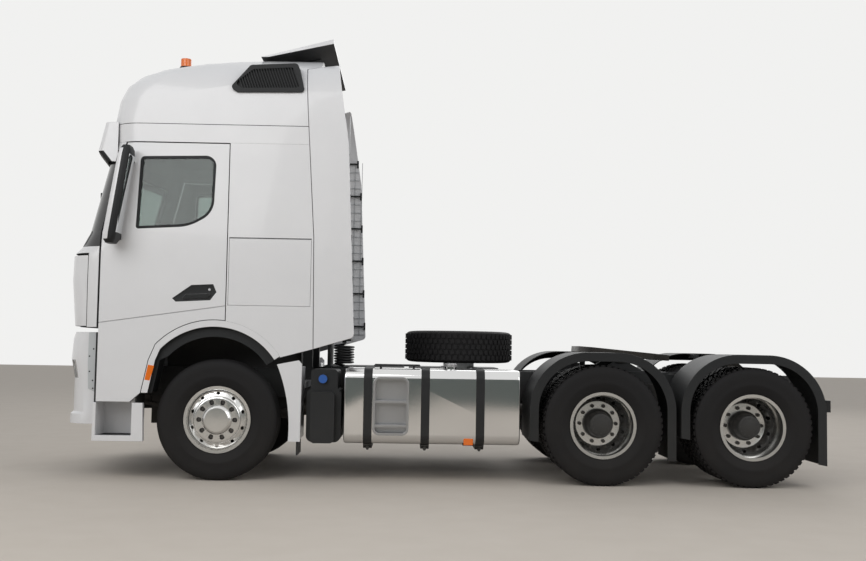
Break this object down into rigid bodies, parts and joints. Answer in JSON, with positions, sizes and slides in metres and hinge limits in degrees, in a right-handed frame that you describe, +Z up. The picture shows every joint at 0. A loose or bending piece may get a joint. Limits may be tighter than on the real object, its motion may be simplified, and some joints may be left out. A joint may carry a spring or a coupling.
{
  "type": "semi truck tractor unit",
  "caption": "White three-axle cab-over tractor unit with a high-roof sleeper cab, twin drive wheels and a fifth wheel.",
  "frame": {"origin": "On the ground, halfway along and across the vehicle", "axes": "+X forward along the vehicle, +Y to its left, +Z up"},
  "size_m": [7.0139, 3.036, 4.092],
  "materials": {
    "body_paint": "gloss",
    "chassis_paint": "satin",
    "tyre_rubber": "matte",
    "rim_steel": "satin",
    "black_plastic": "matte",
    "gloss_black": "gloss",
    "tinted_glass": "gloss",
    "tank_aluminium": "satin",
    "lamp_lens": "gloss",
    "beacon_amber": "gloss",
    "cast_metal": "matte",
    "interior_fabric": "matte",
    "hose_rubber": "matte"
  },
  "bodies": {
    "chassis": {"chassis_frame": "chassis_paint", "front_axle": "cast_metal", "leaf_springs": "cast_metal", "drive_axles": "cast_metal", "engine": "cast_metal", "driveline": "cast_metal", "radiator": "black_plastic", "bumper": "body_paint", "lamps": "lamp_lens", "entry_steps": "body_paint", "fuel_tank": "tank_aluminium", "tank_straps": "black_plastic", "tank_steps": "body_paint", "urea_tank": "black_plastic", "side_boxes": "black_plastic", "spare_tyre": "tyre_rubber", "spare_carrier": "rim_steel", "mudguards_left": "black_plastic", "mudguards_right": "black_plastic", "front_fenders": "body_paint", "fifth_wheel_base": "chassis_paint", "air_hose_1": "hose_rubber", "air_hose_2": "hose_rubber"},
    "cab": {"cab_floor": "black_plastic", "cab_front": "body_paint", "cab_sides": "body_paint", "cab_back": "body_paint", "cab_roof": "body_paint", "windscreen": "tinted_glass", "wiper_cowl": "black_plastic", "sun_visor": "gloss_black", "wheel_arches": "body_paint", "side_fairings": "body_paint", "air_louvres": "black_plastic", "roof_deflector": "body_paint", "beacons": "beacon_amber", "dashboard": "interior_fabric", "seats": "interior_fabric"},
    "front_flap": {"front_flap": "body_paint"},
    "door_left": {"door_left": "body_paint", "door_glass_left": "tinted_glass", "door_fittings_left": "gloss_black"},
    "door_right": {"door_right": "body_paint", "door_glass_right": "tinted_glass", "door_fittings_right": "gloss_black"},
    "locker_left": {"locker_left": "body_paint"},
    "locker_right": {"locker_right": "body_paint"},
    "knuckle_left": {"knuckle_left": "cast_metal"},
    "knuckle_right": {"knuckle_right": "cast_metal"},
    "tie_rod": {"tie_rod": "cast_metal"},
    "front_wheel_left": {"front_tyre_left": "tyre_rubber", "front_rim_left": "rim_steel"},
    "front_wheel_right": {"front_tyre_right": "tyre_rubber", "front_rim_right": "rim_steel"},
    "drive_wheel_1_left": {"drive_wheel_1_left": "tyre_rubber"},
    "drive_wheel_1_right": {"drive_wheel_1_right": "tyre_rubber"},
    "drive_wheel_2_left": {"drive_wheel_2_left": "tyre_rubber"},
    "drive_wheel_2_right": {"drive_wheel_2_right": "tyre_rubber"},
    "fifth_wheel": {"fifth_wheel_plate": "cast_metal"}
  },
  "joints": [
    {"name": "cab_tilt", "type": "hinge", "parent": "chassis", "child": "cab", "pos_m": [3.3425, 0, 1.08], "axis": [0, 1, 0], "range_deg": [0, 60]},
    {"name": "left_door", "type": "hinge", "parent": "cab", "child": "door_left", "pos_m": [3.0775, 1.222, 1.76], "axis": [0, 0, -1], "range_deg": [0, 70]},
    {"name": "right_door", "type": "hinge", "parent": "cab", "child": "door_right", "pos_m": [3.0775, -1.222, 1.76], "axis": [0, 0, 1], "range_deg": [0, 70]},
    {"name": "flap_lift", "type": "hinge", "parent": "cab", "child": "front_flap", "pos_m": [3.4795, 0, 1.974], "axis": [0, -1, 0], "range_deg": [0, 80]},
    {"name": "left_locker", "type": "hinge", "parent": "cab", "child": "locker_left", "pos_m": [1.5925, 1.235, 2.15], "axis": [1, 0, 0], "range_deg": [0, 75]},
    {"name": "right_locker", "type": "hinge", "parent": "cab", "child": "locker_right", "pos_m": [1.5925, -1.235, 2.15], "axis": [-1, 0, 0], "range_deg": [0, 75]},
    {"name": "steering_left", "type": "hinge", "parent": "chassis", "child": "knuckle_left", "pos_m": [2.0325, 0.89, 0.538], "axis": [0, 0, 1], "range_deg": [-40, 40]},
    {"name": "steering_right", "type": "hinge", "parent": "chassis", "child": "knuckle_right", "pos_m": [2.0325, -0.89, 0.538], "axis": [0, 0, 1], "range_deg": [-40, 40]},
    {"name": "tie_rod_pivot", "type": "hinge", "parent": "knuckle_left", "child": "tie_rod", "pos_m": [1.8375, 0.89, 0.44], "axis": [0, 0, 1], "range_deg": [-40, 40]},
    {"name": "front_left_spin", "type": "hinge", "parent": "knuckle_left", "child": "front_wheel_left", "pos_m": [2.0325, 1.05, 0.538], "axis": [0, 1, 0], "continuous": true},
    {"name": "front_right_spin", "type": "hinge", "parent": "knuckle_right", "child": "front_wheel_right", "pos_m": [2.0325, -1.05, 0.538], "axis": [0, 1, 0], "continuous": true},
    {"name": "drive_1_left_spin", "type": "hinge", "parent": "chassis", "child": "drive_wheel_1_left", "pos_m": [-1.4175, 0.914, 0.538], "axis": [0, 1, 0], "continuous": true},
    {"name": "drive_1_right_spin", "type": "hinge", "parent": "chassis", "child": "drive_wheel_1_right", "pos_m": [-1.4175, -0.914, 0.538], "axis": [0, 1, 0], "continuous": true},
    {"name": "drive_2_left_spin", "type": "hinge", "parent": "chassis", "child": "drive_wheel_2_left", "pos_m": [-2.7675, 0.914, 0.538], "axis": [0, 1, 0], "continuous": true},
    {"name": "drive_2_right_spin", "type": "hinge", "parent": "chassis", "child": "drive_wheel_2_right", "pos_m": [-2.7675, -0.914, 0.538], "axis": [0, 1, 0], "continuous": true},
    {"name": "fifth_wheel_tilt", "type": "hinge", "parent": "chassis", "child": "fifth_wheel", "pos_m": [-1.7475, 0, 1.128], "axis": [0, 1, 0], "range_deg": [-8, 20]}
  ],
  "couplings": [
    {"joint": "steering_right", "follows": "steering_left", "ratio": 1},
    {"joint": "tie_rod_pivot", "follows": "steering_left", "ratio": -1}
  ]
}
